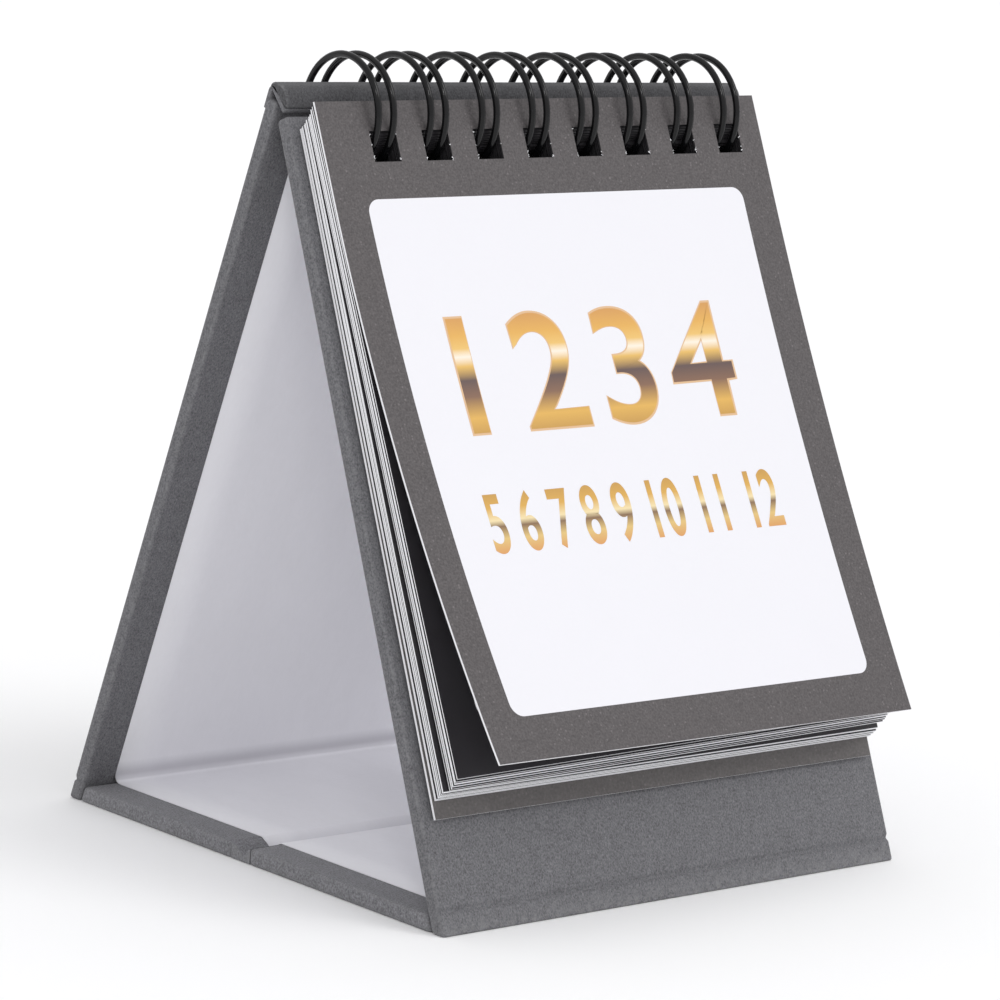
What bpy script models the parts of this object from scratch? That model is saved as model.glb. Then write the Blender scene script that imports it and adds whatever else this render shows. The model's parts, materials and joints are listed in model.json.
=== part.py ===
"""Small easel desk calendar: a paper-covered board stand, a twin-loop wire and loose leaves.

Units are metres, +Z is up and the leaves face -Y. The stand folds out of four boards. Each board
is modelled lying flat in its own frame, with X across it, Y from its foot towards its other edge
and Z out of its covered face, and the frame is then turned to where the board stands. The leaves
are modelled in frames at the ring's centre, with Z out through the stack.
"""

import math

import bmesh
import bpy
from mathutils import Matrix, Vector

MM = 0.001

# Stand
STAND_WIDTH = 78.0 * MM
BASE_DEPTH = 79.0 * MM
FRONT_SLANT = 103.6 * MM
RIDGE_SETBACK = 38.9 * MM
SPINE_RUN = 3.2 * MM
SPINE_RISE = 3.7 * MM

# Boards and their paper
BOARD = 1.5 * MM
PAPER = 0.3 * MM
GLUE = 0.05 * MM
EDGE_ROUND = 0.5 * MM
EDGE_STEPS = 3
SIDE_TURN_IN = 5.0 * MM
BINDING_TURN_IN = 13.0 * MM
FOLD_TURN_IN = 0.8 * MM
LINER_MARGIN = 0.1 * MM

# Hinges of folded paper
HINGE_PAPER = 0.6 * MM
HINGE_LAP = 1.5 * MM
FOLD_ROUND = 0.2 * MM
FOLD_STEPS = 5
FOOT_BAND = 2.7 * MM
BASE_CREASE_AT = 40.8 * MM
BASE_CREASE_WIDTH = 4.0 * MM
RIDGE_GAP = 0.5 * MM
CLEARANCE = 0.3 * MM

# Binding
LOOP_PITCH = 8.467 * MM
LOOP_OFFSET = 1.8 * MM
ROW_MARGIN = 5.0 * MM
RING_BACK = 1.55 * MM
RING_DROP = 0.43 * MM
RING_SPARE = 1.7 * MM
WIRE = 0.9 * MM
PAIR_GAP = 2.44 * MM
CLOSURE_GAP = 0.6 * MM
SPINE_CORNER = 0.8 * MM
POINTS_PER_LEG = 24
POINTS_PER_TIP = 6
POINTS_PER_CORNER = 3

# Punched holes
HOLE_SIDE_PLAY = 0.45 * MM
HOLE_HEIGHT = 4.0 * MM
BOARD_HOLE_SIDE_PLAY = 0.6 * MM
BOARD_HOLE_HEIGHT = 4.6 * MM
HOLE_FROM_EDGE = 3.9 * MM
LEAF_PLAY = 0.22 * MM

# Leaves
LEAF_SIDE_MARGIN = 1.4 * MM
BARE_FOOT = 18.8 * MM
MONTH_LEAVES = 12
LEAF_THICKNESS = 0.17 * MM
LEAF_GAP = 0.08 * MM
LEAF_FAN = math.radians(0.07)
BACK_CARD_THICKNESS = 0.35 * MM
BACK_CARD_EXTRA = 2.2 * MM
BACK_CARD_LEAN = math.radians(0.25)
COVER_THICKNESS = 0.3 * MM
COVER_EXTRA = 1.0 * MM
COVER_GAP = 0.25 * MM
COVER_LEAN = math.radians(0.6)
COVER_FLAT = 12.0 * MM
COVER_BEND = math.radians(11.2)
COVER_STEPS = 9

# Looks of the materials: name, colour, roughness, metallic
FABRIC = ("covering_paper", (0.085, 0.09, 0.093), 0.85, 0.0)
GREYBOARD = ("greyboard", (0.42, 0.40, 0.37), 0.9, 0.0)
LINING = ("lining_paper", (0.82, 0.82, 0.84), 0.75, 0.0)
LEAF_PAPER = ("leaf_paper", (0.86, 0.86, 0.87), 0.7, 0.0)
DARK_CARD = ("dark_card", (0.07, 0.062, 0.058), 0.8, 0.0)
COVER_CARD = ("cover_card", (0.10, 0.093, 0.09), 0.75, 0.0)
BLACK_WIRE = ("black_wire", (0.01, 0.01, 0.011), 0.3, 0.2)

# What follows from the sizes
SKIN = PAPER + GLUE
PANEL = BOARD + 2 * SKIN
HALF_WIDTH = STAND_WIDTH / 2
LEAF_WIDTH = STAND_WIDTH - 2 * LEAF_SIDE_MARGIN
LEAF_LENGTH = FRONT_SLANT - BARE_FOOT
LOOPS = int((LEAF_WIDTH - ROW_MARGIN) / LOOP_PITCH)
HOLE_WIDTH = PAIR_GAP + WIRE + 2 * HOLE_SIDE_PLAY
BOARD_HOLE_WIDTH = PAIR_GAP + WIRE + 2 * BOARD_HOLE_SIDE_PLAY
REARWARDS = Vector((0, 1, 0))
UPWARDS = Vector((0, 0, 1))
FRONT_FOOT = -REARWARDS * BASE_DEPTH / 2
REAR_FOOT = REARWARDS * BASE_DEPTH / 2
RIDGE_HEIGHT = math.sqrt(FRONT_SLANT**2 - RIDGE_SETBACK**2)
RIDGE_FRONT = FRONT_FOOT + Vector((0, RIDGE_SETBACK, RIDGE_HEIGHT))
RIDGE_REAR = RIDGE_FRONT + Vector((0, SPINE_RUN, SPINE_RISE))
RING_CENTRE = RIDGE_FRONT + Vector((0, RING_BACK, -RING_DROP))
FRONT_UP = (RIDGE_FRONT - FRONT_FOOT).normalized()
FRONT_OUT = Vector((0, -FRONT_UP.z, FRONT_UP.y))
BACK_UP = (RIDGE_REAR - REAR_FOOT).normalized()
BACK_OUT = Vector((0, BACK_UP.z, -BACK_UP.y))
BACK_SLANT = (RIDGE_REAR - REAR_FOOT).length

# The stack's layers, as distances out from the ring's centre
CARD_AT = FRONT_OUT.dot(RIDGE_FRONT - RING_CENTRE) + CLEARANCE
LEAVES_AT = CARD_AT + BACK_CARD_THICKNESS + LEAF_GAP
LEAF_PITCH = LEAF_THICKNESS + LEAF_GAP
COVER_AT = LEAVES_AT + MONTH_LEAVES * LEAF_PITCH - LEAF_GAP + COVER_GAP
RING_RADIUS = COVER_AT + COVER_THICKNESS + RING_SPARE


def make_collection(name):
    collection = bpy.data.collections.new(name)
    bpy.context.scene.collection.children.link(collection)
    return collection


for old_object in list(bpy.data.objects):
    bpy.data.objects.remove(old_object, do_unlink=True)
PARTS = make_collection("desk_calendar")
CUTTERS = make_collection("cutters")


def make_material(name, colour, roughness, metallic):
    material = bpy.data.materials.new(name)
    material.use_nodes = True
    shader = material.node_tree.nodes["Principled BSDF"]
    shader.inputs["Base Color"].default_value = (*colour, 1.0)
    shader.inputs["Roughness"].default_value = roughness
    shader.inputs["Metallic"].default_value = metallic
    material.diffuse_color = (*colour, 1.0)
    return material


def world_of(frame):
    """The world matrix of a frame, worked out through its parents."""
    if frame.parent is None:
        return frame.matrix_basis.copy()
    return world_of(frame.parent) @ frame.matrix_basis


def make_frame(name, origin, up, out, parent=None):
    """An empty at origin, in world space, whose Y points along up and whose Z points along out."""
    frame = bpy.data.objects.new(name, None)
    frame.empty_display_size = 5 * MM
    PARTS.objects.link(frame)
    turn = Matrix((up.cross(out), up, out)).transposed().to_4x4()
    place = Matrix.Translation(origin) @ turn
    if parent is not None:
        place = world_of(parent).inverted() @ place
        frame.parent = parent
    frame.matrix_basis = place
    return frame


def finish(obj, frame, look):
    """Put an object on its frame and give it its own material."""
    obj.parent = frame
    name, colour, roughness, metallic = look
    obj.data.materials.clear()
    obj.data.materials.append(make_material(f"{obj.name}_{name}", colour, roughness, metallic))
    return obj


def as_cutter(obj, frame):
    obj.parent = frame
    obj.hide_render = True
    obj.display_type = "WIRE"
    return obj


def add_box(shape, low, high):
    """Add a box between two corners to a bmesh."""
    low = Vector(low)
    high = Vector(high)
    verts = bmesh.ops.create_cube(shape, size=1.0)["verts"]
    bmesh.ops.scale(shape, vec=high - low, verts=verts)
    bmesh.ops.translate(shape, vec=(low + high) / 2, verts=verts)


def object_of(name, shape, collection):
    """A mesh object from a bmesh, which is freed."""
    mesh = bpy.data.meshes.new(name)
    shape.to_mesh(mesh)
    shape.free()
    obj = bpy.data.objects.new(name, mesh)
    collection.objects.link(obj)
    return obj


def box(name, low, high, collection=PARTS):
    shape = bmesh.new()
    add_box(shape, low, high)
    return object_of(name, shape, collection)


def combine(obj, other, operation):
    modifier = obj.modifiers.new(other.name, "BOOLEAN")
    modifier.operation = operation
    modifier.object = other
    modifier.solver = "EXACT"


def hole_places():
    """The middle of each pair of loops, across the stand."""
    first = LOOP_OFFSET - LOOP_PITCH * (LOOPS - 1) / 2
    return [first + LOOP_PITCH * number for number in range(LOOPS)]


def punch_row(name, frame, size, middle, low, high, across=1):
    """A cutter for a row of punched holes. across is -1 where the frame's X runs the other way."""
    width, height = size
    shape = bmesh.new()
    for place in hole_places():
        left = across * place - width / 2
        corner = (left, middle - height / 2, low)
        add_box(shape, corner, (left + width, middle + height / 2, high))
    return as_cutter(object_of(name, shape, CUTTERS), frame)


def arc(centre, radius, start, sweep, steps):
    """Points on an arc from the angle start, through sweep, both in radians."""
    turns = [start + sweep * step / steps for step in range(steps + 1)]
    return [Vector((centre[0] + radius * math.cos(a), centre[1] + radius * math.sin(a))) for a in turns]


def outline(name, loops, thickness):
    """A filled flat curve through loops of points, of the thickness given."""
    curve = bpy.data.curves.new(name, "CURVE")
    curve.dimensions = "2D"
    curve.fill_mode = "BOTH"
    curve.extrude = thickness / 2
    for points in loops:
        spline = curve.splines.new("POLY")
        spline.points.add(len(points) - 1)
        for point, (x, y) in zip(spline.points, points):
            point.co = (x, y, 0, 1)
        spline.use_cyclic_u = True
    obj = bpy.data.objects.new(name, curve)
    PARTS.objects.link(obj)
    return obj


def rectangle(left, right, bottom, top):
    return [(left, bottom), (right, bottom), (right, top), (left, top)]


def folded_profile(first, corner, last, side):
    """A layer of hinge paper from first round a fold at corner to last, thickened to one side."""
    arrive = (corner - first).normalized()
    leave = (last - corner).normalized()
    turn = arrive.angle(leave)
    radius = HINGE_PAPER + FOLD_ROUND
    arrive_inward = Vector((-arrive.y, arrive.x)) * side
    leave_inward = Vector((-leave.y, leave.x)) * side
    centre = corner - arrive * radius * math.tan(turn / 2) + arrive_inward * radius
    start = math.atan2(-arrive_inward.y, -arrive_inward.x)
    sweep = turn * side
    outer = [first] + arc(centre, radius, start, sweep, FOLD_STEPS) + [last]
    inner = [last + leave_inward * HINGE_PAPER]
    inner += arc(centre, FOLD_ROUND, start + sweep, -sweep, FOLD_STEPS)
    inner += [first + arrive_inward * HINGE_PAPER]
    return outer + inner


def hinge_strip(name, profile, frame):
    """A profile in the frame's Y and Z, run across the whole width of the stand."""
    flat = outline(name, [profile], STAND_WIDTH)
    graph = bpy.context.evaluated_depsgraph_get()
    mesh = bpy.data.meshes.new_from_object(flat.evaluated_get(graph))
    bpy.data.objects.remove(flat)
    shape = bmesh.new()
    shape.from_mesh(mesh)
    bpy.data.meshes.remove(mesh)
    bmesh.ops.remove_doubles(shape, verts=shape.verts, dist=0.001 * MM)
    axes_cycled = Matrix(((0, 0, 1), (1, 0, 0), (0, 1, 0))).to_4x4()
    bmesh.ops.transform(shape, matrix=axes_cycled, verts=shape.verts)
    bmesh.ops.recalc_face_normals(shape, faces=shape.faces)
    return as_cutter(object_of(name, shape, CUTTERS), frame)


def spine_direction():
    """The strip between the front and back boards: along it to the front, and out of it."""
    along = (RIDGE_FRONT - RIDGE_REAR).normalized()
    return along, Vector((0, along.z, -along.y))


def spine_hinge(frame):
    """The paper that runs from the back board over the ridge to the front board."""
    ridge = Vector((BACK_SLANT, 0))
    along, _ = spine_direction()
    reach = (RIDGE_FRONT - RIDGE_REAR).length - CLEARANCE
    last = ridge + Vector((along.dot(BACK_UP), along.dot(BACK_OUT))) * reach
    first = Vector((back_board_top() - HINGE_LAP, 0))
    return hinge_strip("spine_hinge", folded_profile(first, ridge, last, -1), frame)


def back_board_top():
    """How far up the back board reaches, so that its inner corner stays under the spine's paper."""
    _, spine_out = spine_direction()
    lower = HINGE_PAPER + CLEARANCE - PANEL * spine_out.dot(BACK_OUT)
    return BACK_SLANT - lower / spine_out.dot(BACK_UP)


def ring_crossing(foot, up, out):
    """How far up a board the ring crosses its middle."""
    centre = RING_CENTRE - foot
    rise = math.sqrt(RING_RADIUS**2 - (centre.dot(out) + PANEL / 2) ** 2)
    return centre.dot(up) - rise


def base_hinge(foot, up, out):
    """Where a standing board's inner face meets the top face of the base."""
    along = PANEL * (1 + out.z) / up.z
    return foot + up * along - out * PANEL


def covered_board(label, frame, ends, foot, end_turn_in, band=None, holes=None):
    """A board wrapped in paper on its outer face and edges, and lined on its inner face.

    ends are where the board itself starts and stops along Y. foot is where its paper starts on the
    outer face, and how much farther along it starts on the inner face. end_turn_in is the width of
    covering paper that shows on the inner face at its far end. holes is the middle of the row of
    holes along Y, and 1 or -1 for the way that X runs.
    """
    low, high = ends
    foot_start, foot_slope = foot
    wrap = box(f"{label}_wrap", (-HALF_WIDTH, foot_start, -PANEL), (HALF_WIDTH, high, 0))
    for vert in wrap.data.vertices:
        if vert.co.y < low and vert.co.z < -PANEL / 2:
            vert.co.y += foot_slope
    bevel = wrap.modifiers.new("edges", "BEVEL")
    bevel.width = EDGE_ROUND
    bevel.segments = EDGE_STEPS
    if band is not None:
        combine(wrap, band, "UNION")
    space = box(
        f"{label}_board_space",
        (PAPER - HALF_WIDTH, low + PAPER, PAPER - PANEL),
        (HALF_WIDTH - PAPER, high - PAPER, -PAPER),
        CUTTERS,
    )
    combine(wrap, as_cutter(space, frame), "DIFFERENCE")
    window_half = HALF_WIDTH - SIDE_TURN_IN
    window_low = low + FOLD_TURN_IN
    window_high = high - end_turn_in
    window = box(
        f"{label}_liner_space",
        (-window_half, window_low, -PANEL - CLEARANCE),
        (window_half, window_high, -PANEL / 2),
        CUTTERS,
    )
    combine(wrap, as_cutter(window, frame), "DIFFERENCE")
    board = box(
        f"{label}_board",
        (SKIN - HALF_WIDTH, low + SKIN, SKIN - PANEL),
        (HALF_WIDTH - SKIN, high - SKIN, -SKIN),
    )
    liner = box(
        f"{label}_liner",
        (LINER_MARGIN - window_half, window_low + LINER_MARGIN, -PANEL),
        (window_half - LINER_MARGIN, window_high - LINER_MARGIN, PAPER - PANEL),
    )
    if holes is not None:
        middle, across = holes
        size = (BOARD_HOLE_WIDTH, BOARD_HOLE_HEIGHT)
        punches = punch_row(f"{label}_punches", frame, size, middle, -2 * PANEL, PANEL, across)
        combine(wrap, punches, "DIFFERENCE")
        combine(board, punches, "DIFFERENCE")
    finish(wrap, frame, FABRIC)
    finish(board, frame, GREYBOARD)
    finish(liner, frame, LINING)


def leaf_hole_top(out):
    """Where a hole tops out on a leaf that hangs on the wire, this far out from the ring's centre."""
    drop = math.sqrt(RING_RADIUS**2 - out**2)
    return -drop + WIRE / 2 * RING_RADIUS / drop + LEAF_PLAY


def flat_leaf(name, frame, at, thickness, length, lean, look):
    """A flat punched leaf, whose inner face is this far out, leaning out from the ring's centre."""
    hole_top = leaf_hole_top(at + thickness)
    top = hole_top + HOLE_FROM_EDGE
    loops = [rectangle(-LEAF_WIDTH / 2, LEAF_WIDTH / 2, top - length, top)]
    for place in hole_places():
        left = place - HOLE_WIDTH / 2
        loops.append(rectangle(left, left + HOLE_WIDTH, hole_top - HOLE_HEIGHT, hole_top))
    leaf = outline(name, loops, thickness)
    finish(leaf, frame, look)
    lift = Matrix.Translation((0, 0, at + thickness / 2))
    leaf.matrix_basis = Matrix.Rotation(-lean, 4, "X") @ lift
    return leaf


def rolled(point, start, bend_radius):
    """A point of a flat sheet after the part of it below start has been rolled outwards."""
    below = start - point.y
    if below <= 0:
        return point.copy()
    turn = below / bend_radius
    down = bend_radius * math.sin(turn)
    return Vector((point.x, start - down, point.z + bend_radius * (1 - math.cos(turn))))


def cover_sheet(frame):
    """The cover card, flat under the wire and then rolled outwards towards its foot."""
    hole_top = leaf_hole_top(COVER_AT + COVER_THICKNESS)
    top = hole_top + HOLE_FROM_EDGE
    start = top - COVER_FLAT
    roll = LEAF_LENGTH + COVER_EXTRA - COVER_FLAT
    places = [top] + [start - roll * step / COVER_STEPS for step in range(COVER_STEPS + 1)]
    shape = bmesh.new()
    bmesh.ops.create_grid(shape, x_segments=1, y_segments=len(places) - 1, size=0.5)
    for vert in shape.verts:
        row = round((0.5 - vert.co.y) * (len(places) - 1))
        flat = Vector((vert.co.x * LEAF_WIDTH, places[row], COVER_AT))
        vert.co = rolled(flat, start, roll / COVER_BEND)
    for face in shape.faces:
        face.smooth = True
    cover = object_of("cover_sheet", shape, PARTS)
    wall = cover.modifiers.new("thickness", "SOLIDIFY")
    wall.thickness = COVER_THICKNESS
    wall.offset = 1.0
    size = (HOLE_WIDTH, HOLE_HEIGHT)
    middle = hole_top - HOLE_HEIGHT / 2
    far = COVER_AT + 3 * COVER_THICKNESS
    punches = punch_row("cover_punches", frame, size, middle, COVER_AT - COVER_THICKNESS, far)
    combine(cover, punches, "DIFFERENCE")
    finish(cover, frame, COVER_CARD)
    cover.matrix_basis = Matrix.Rotation(-COVER_LEAN, 4, "X")
    punches.matrix_basis = cover.matrix_basis
    return cover


def ring_point(x, along):
    """A point on the ring: across, and along it from its lowest line up the front."""
    turn = along / RING_RADIUS
    return Vector((x, -RING_RADIUS * math.sin(turn), -RING_RADIUS * math.cos(turn)))


def wire_route():
    """The wire's centreline: round a loop to the hairpin at its tip, back, and on to the next."""
    half = PAIR_GAP / 2
    spine_at = (CLOSURE_GAP + WIRE) / 2
    near = spine_at + SPINE_CORNER
    far = 2 * math.pi * RING_RADIUS - spine_at - half
    legs = [near + (far - near) * step / (POINTS_PER_LEG - 1) for step in range(POINTS_PER_LEG)]
    flat = []
    for number, middle in enumerate(hole_places()):
        left = middle - half
        right = middle + half
        if number > 0:
            centre = (left - SPINE_CORNER, near)
            flat += arc(centre, SPINE_CORNER, -math.pi / 2, math.pi / 2, POINTS_PER_CORNER)[:-1]
        flat += [Vector((left, along)) for along in legs]
        flat += arc((middle, far), half, math.pi, -math.pi, POINTS_PER_TIP)[1:-1]
        flat += [Vector((right, along)) for along in reversed(legs)]
        if number < LOOPS - 1:
            centre = (right + SPINE_CORNER, near)
            flat += arc(centre, SPINE_CORNER, math.pi, math.pi / 2, POINTS_PER_CORNER)[1:]
    return [ring_point(x, along) for x, along in flat]


def least_gap(route):
    """The least clear distance between stretches of the wire that lie apart along it."""
    travelled = [0.0]
    for first, second in zip(route, route[1:]):
        travelled.append(travelled[-1] + (second - first).length)
    least = RING_RADIUS
    for i, first in enumerate(route):
        for j in range(i + 1, len(route)):
            if travelled[j] - travelled[i] > 3 * PAIR_GAP:
                least = min(least, (route[j] - first).length - WIRE)
    return least


def binding_wire(frame):
    """The twin-loop wire, as one round curve."""
    route = wire_route()
    curve = bpy.data.curves.new("wire_binding", "CURVE")
    curve.dimensions = "3D"
    curve.bevel_depth = WIRE / 2
    curve.bevel_resolution = 1
    curve.use_fill_caps = True
    spline = curve.splines.new("POLY")
    spline.points.add(len(route) - 1)
    spline.use_smooth = True
    for point, place in zip(spline.points, route):
        point.co = (*place, 1)
    wire = bpy.data.objects.new("wire_binding", curve)
    PARTS.objects.link(wire)
    finish(wire, frame, BLACK_WIRE)
    print(f"wire: {len(route)} points, least gap to itself {least_gap(route) / MM:.2f} mm")


def base_start(foot, up, out):
    """How far in from a foot the base's board starts, clear of the standing board."""
    return abs(base_hinge(foot, up, out).y - foot.y) + CLEARANCE / up.z


def slope_across(up, out):
    """How much a standing board's slope moves a horizontal cut between its two faces."""
    return PANEL * out.z / up.z


def front_panel(root):
    """The board that the leaves lie on, its paper pressed together down to the foot."""
    frame = make_frame("front_frame", FRONT_FOOT, FRONT_UP, FRONT_OUT, root)
    ends = (FOOT_BAND, FRONT_SLANT - RIDGE_GAP)
    foot = (0, slope_across(FRONT_UP, FRONT_OUT))
    holes = (ring_crossing(FRONT_FOOT, FRONT_UP, FRONT_OUT), 1)
    covered_board("front", frame, ends, foot, BINDING_TURN_IN, holes=holes)


def back_panel(fold):
    """The board behind, which carries the strip of paper over the ridge."""
    frame = make_frame("back_frame", REAR_FOOT, BACK_UP, BACK_OUT, fold)
    ends = (FOOT_BAND, back_board_top())
    foot = (0, slope_across(BACK_UP, BACK_OUT))
    holes = (ring_crossing(REAR_FOOT, BACK_UP, BACK_OUT), -1)
    covered_board("back", frame, ends, foot, BINDING_TURN_IN, spine_hinge(frame), holes)


def base_halves(front_fold, rear_fold):
    """The two halves of the base and the strip of paper across the crease between them."""
    half_crease = BASE_CREASE_WIDTH / 2
    front_frame = make_frame("base_front_frame", FRONT_FOOT, REARWARDS, -UPWARDS, front_fold)
    start = base_start(FRONT_FOOT, FRONT_UP, FRONT_OUT)
    stop = BASE_CREASE_AT - half_crease
    slope = slope_across(FRONT_UP, FRONT_OUT)
    covered_board("base_front", front_frame, (start, stop), (start - slope, slope), FOLD_TURN_IN)
    rear_frame = make_frame("base_rear_frame", REAR_FOOT, -REARWARDS, -UPWARDS, rear_fold)
    start = base_start(REAR_FOOT, BACK_UP, BACK_OUT)
    stop = BASE_DEPTH - BASE_CREASE_AT - half_crease
    slope = slope_across(BACK_UP, BACK_OUT)
    covered_board("base_rear", rear_frame, (start, stop), (start - slope, slope), FOLD_TURN_IN)
    half_strip = half_crease - CLEARANCE
    crease = box(
        "base_crease",
        (-HALF_WIDTH, BASE_CREASE_AT - half_strip, -HINGE_PAPER),
        (HALF_WIDTH, BASE_CREASE_AT + half_strip, 0),
    )
    finish(crease, front_frame, FABRIC)


def leaves(rear_frame, front_frame):
    """The back card and the month leaves, the first month in front."""
    flat_leaf(
        "back_card",
        rear_frame,
        CARD_AT,
        BACK_CARD_THICKNESS,
        LEAF_LENGTH + BACK_CARD_EXTRA,
        BACK_CARD_LEAN,
        DARK_CARD,
    )
    for month in range(MONTH_LEAVES, 0, -1):
        layer = MONTH_LEAVES - month
        frame = rear_frame if layer < MONTH_LEAVES // 2 else front_frame
        flat_leaf(
            f"month_leaf_{month:02d}",
            frame,
            LEAVES_AT + layer * LEAF_PITCH,
            LEAF_THICKNESS,
            LEAF_LENGTH,
            BACK_CARD_LEAN + (layer + 1) * LEAF_FAN,
            LEAF_PAPER,
        )


def reach_of_parts():
    """The least Y, greatest Y and least Z of the finished pieces."""
    graph = bpy.context.evaluated_depsgraph_get()
    places = []
    for obj in PARTS.objects:
        if obj.type == "EMPTY":
            continue
        evaluated = obj.evaluated_get(graph)
        mesh = evaluated.to_mesh()
        places += [evaluated.matrix_world @ vert.co for vert in mesh.vertices]
        evaluated.to_mesh_clear()
    depths = [place.y for place in places]
    return min(depths), max(depths), min(place.z for place in places)


def main():
    root = make_frame("stand", Vector(), REARWARDS, UPWARDS)
    front_panel(root)
    ring = make_frame("ring_centre", RING_CENTRE, REARWARDS, UPWARDS, root)
    binding_wire(ring)
    stand_fold = make_frame("stand_fold", RIDGE_FRONT, REARWARDS, UPWARDS, root)
    back_panel(stand_fold)
    front_hinge = base_hinge(FRONT_FOOT, FRONT_UP, FRONT_OUT)
    rear_hinge = base_hinge(REAR_FOOT, BACK_UP, BACK_OUT)
    base_front_fold = make_frame("base_front_fold", front_hinge, REARWARDS, UPWARDS, root)
    base_rear_fold = make_frame("base_rear_fold", rear_hinge, REARWARDS, UPWARDS, stand_fold)
    base_halves(base_front_fold, base_rear_fold)
    rear_lift = make_frame("rear_leaves_lift", RING_CENTRE, FRONT_UP, FRONT_OUT, root)
    front_lift = make_frame("front_leaves_lift", RING_CENTRE, FRONT_UP, FRONT_OUT, rear_lift)
    cover_flip = make_frame("cover_flip", RING_CENTRE, FRONT_UP, FRONT_OUT, front_lift)
    leaves(rear_lift, front_lift)
    cover_sheet(cover_flip)

    nearest, farthest, lowest = reach_of_parts()
    root.location = -REARWARDS * (nearest + farthest) / 2 - UPWARDS * lowest
    bpy.context.view_layer.update()
    for joint in (stand_fold, base_front_fold, base_rear_fold, ring):
        place = joint.matrix_world.translation / MM
        print(f"{joint.name}: {place.x:.3f} {place.y:.3f} {place.z:.3f} mm")


main()
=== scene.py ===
import json
import math
import random

import bmesh
import bpy
from mathutils import Matrix, Vector


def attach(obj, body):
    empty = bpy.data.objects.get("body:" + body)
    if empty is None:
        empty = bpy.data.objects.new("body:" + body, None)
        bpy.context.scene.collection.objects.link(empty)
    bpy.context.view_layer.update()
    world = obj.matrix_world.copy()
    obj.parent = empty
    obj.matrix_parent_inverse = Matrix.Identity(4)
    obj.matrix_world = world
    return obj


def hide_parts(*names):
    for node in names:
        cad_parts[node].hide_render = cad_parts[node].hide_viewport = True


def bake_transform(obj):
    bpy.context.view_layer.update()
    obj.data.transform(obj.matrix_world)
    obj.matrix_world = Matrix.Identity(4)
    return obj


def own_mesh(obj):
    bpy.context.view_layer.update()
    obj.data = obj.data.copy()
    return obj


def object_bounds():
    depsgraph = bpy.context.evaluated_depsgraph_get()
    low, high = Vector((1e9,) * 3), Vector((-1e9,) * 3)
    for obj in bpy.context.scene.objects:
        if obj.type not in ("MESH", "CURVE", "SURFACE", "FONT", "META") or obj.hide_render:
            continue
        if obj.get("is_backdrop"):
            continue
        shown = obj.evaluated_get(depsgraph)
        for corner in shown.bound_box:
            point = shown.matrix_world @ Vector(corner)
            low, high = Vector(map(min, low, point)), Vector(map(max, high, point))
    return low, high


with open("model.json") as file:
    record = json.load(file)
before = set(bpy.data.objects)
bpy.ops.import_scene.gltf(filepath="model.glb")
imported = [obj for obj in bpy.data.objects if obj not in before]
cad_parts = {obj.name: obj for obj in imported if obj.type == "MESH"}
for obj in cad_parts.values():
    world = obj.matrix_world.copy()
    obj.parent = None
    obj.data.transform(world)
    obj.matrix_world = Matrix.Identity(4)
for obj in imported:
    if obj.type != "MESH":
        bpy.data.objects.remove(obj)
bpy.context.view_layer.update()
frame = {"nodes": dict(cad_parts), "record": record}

MM = 0.001
MM_PER_METRE = 1000.0


def new_object(name, data):
    """An object of this data, put into the scene."""
    made = bpy.data.objects.new(name, data)
    bpy.context.collection.objects.link(made)
    return made


# The camera stands low and to the front left, about five times the calendar's height away.
# Its place comes from a fit to the stand's corners and the row of holes.
CAMERA_AT = Vector((-353.0, -401.6, 134.5)) * MM
CAMERA_YAW = math.radians(41.19)
CAMERA_DOWN = math.radians(9.51)
CAMERA_ROLL = math.radians(3.39)
CAMERA_LENS = 148.4

level = math.cos(CAMERA_DOWN)
ahead = Vector((math.sin(CAMERA_YAW) * level, math.cos(CAMERA_YAW) * level, -math.sin(CAMERA_DOWN)))
aside = Vector((math.cos(CAMERA_YAW), -math.sin(CAMERA_YAW), 0.0))
above = aside.cross(ahead)
camera_x = aside * math.cos(CAMERA_ROLL) + above * math.sin(CAMERA_ROLL)
camera_y = above * math.cos(CAMERA_ROLL) - aside * math.sin(CAMERA_ROLL)
camera = new_object("camera", bpy.data.cameras.new("camera"))
camera.data.lens = CAMERA_LENS
camera.data.sensor_width = 36.0
camera.data.clip_start = 0.05
turn = Matrix((camera_x, camera_y, -ahead)).transposed().to_4x4()
camera.matrix_world = Matrix.Translation(CAMERA_AT) @ turn
bpy.context.scene.camera = camera

# A white table stands in a pale room that is brighter towards the front right. A broad soft lamp
# hangs there, and a weaker, smaller one at the front left puts the fine highlights on the wire.
# The table is larger than the picture, and makes its white background.
ROOM_LIGHT = 0.83
ROOM_SLANT = 0.14
ROOM_BRIGHT_SIDE = Vector((0.35, -0.70, 0.60)).normalized()
ROOM_TINT = (0.985, 0.985, 1.0, 1.0)
TABLE_HALF = 6.0
TABLE_WHITE = (0.975, 0.975, 0.975)
LAMPS = (
    ("broad_lamp", Vector((0.40, -0.62, 0.68)), 0.65, math.radians(26)),
    ("small_lamp", Vector((-0.52, -0.62, 0.59)), 0.3, math.radians(8)),
)


def place_node(tree, kind, inputs=None, **settings):
    """A node with its settings made, and its inputs set to values or linked to other sockets."""
    node = tree.nodes.new(kind)
    for key, value in settings.items():
        setattr(node, key, value)
    for key, value in (inputs or {}).items():
        if isinstance(value, bpy.types.NodeSocket):
            tree.links.new(value, node.inputs[key])
        else:
            node.inputs[key].default_value = value
    return node


def maths(tree, operation, *values, clamp=False):
    """The result of a Math node on numbers and sockets."""
    inputs = dict(enumerate(values))
    node = place_node(tree, "ShaderNodeMath", inputs, operation=operation, use_clamp=clamp)
    return node.outputs[0]


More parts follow.
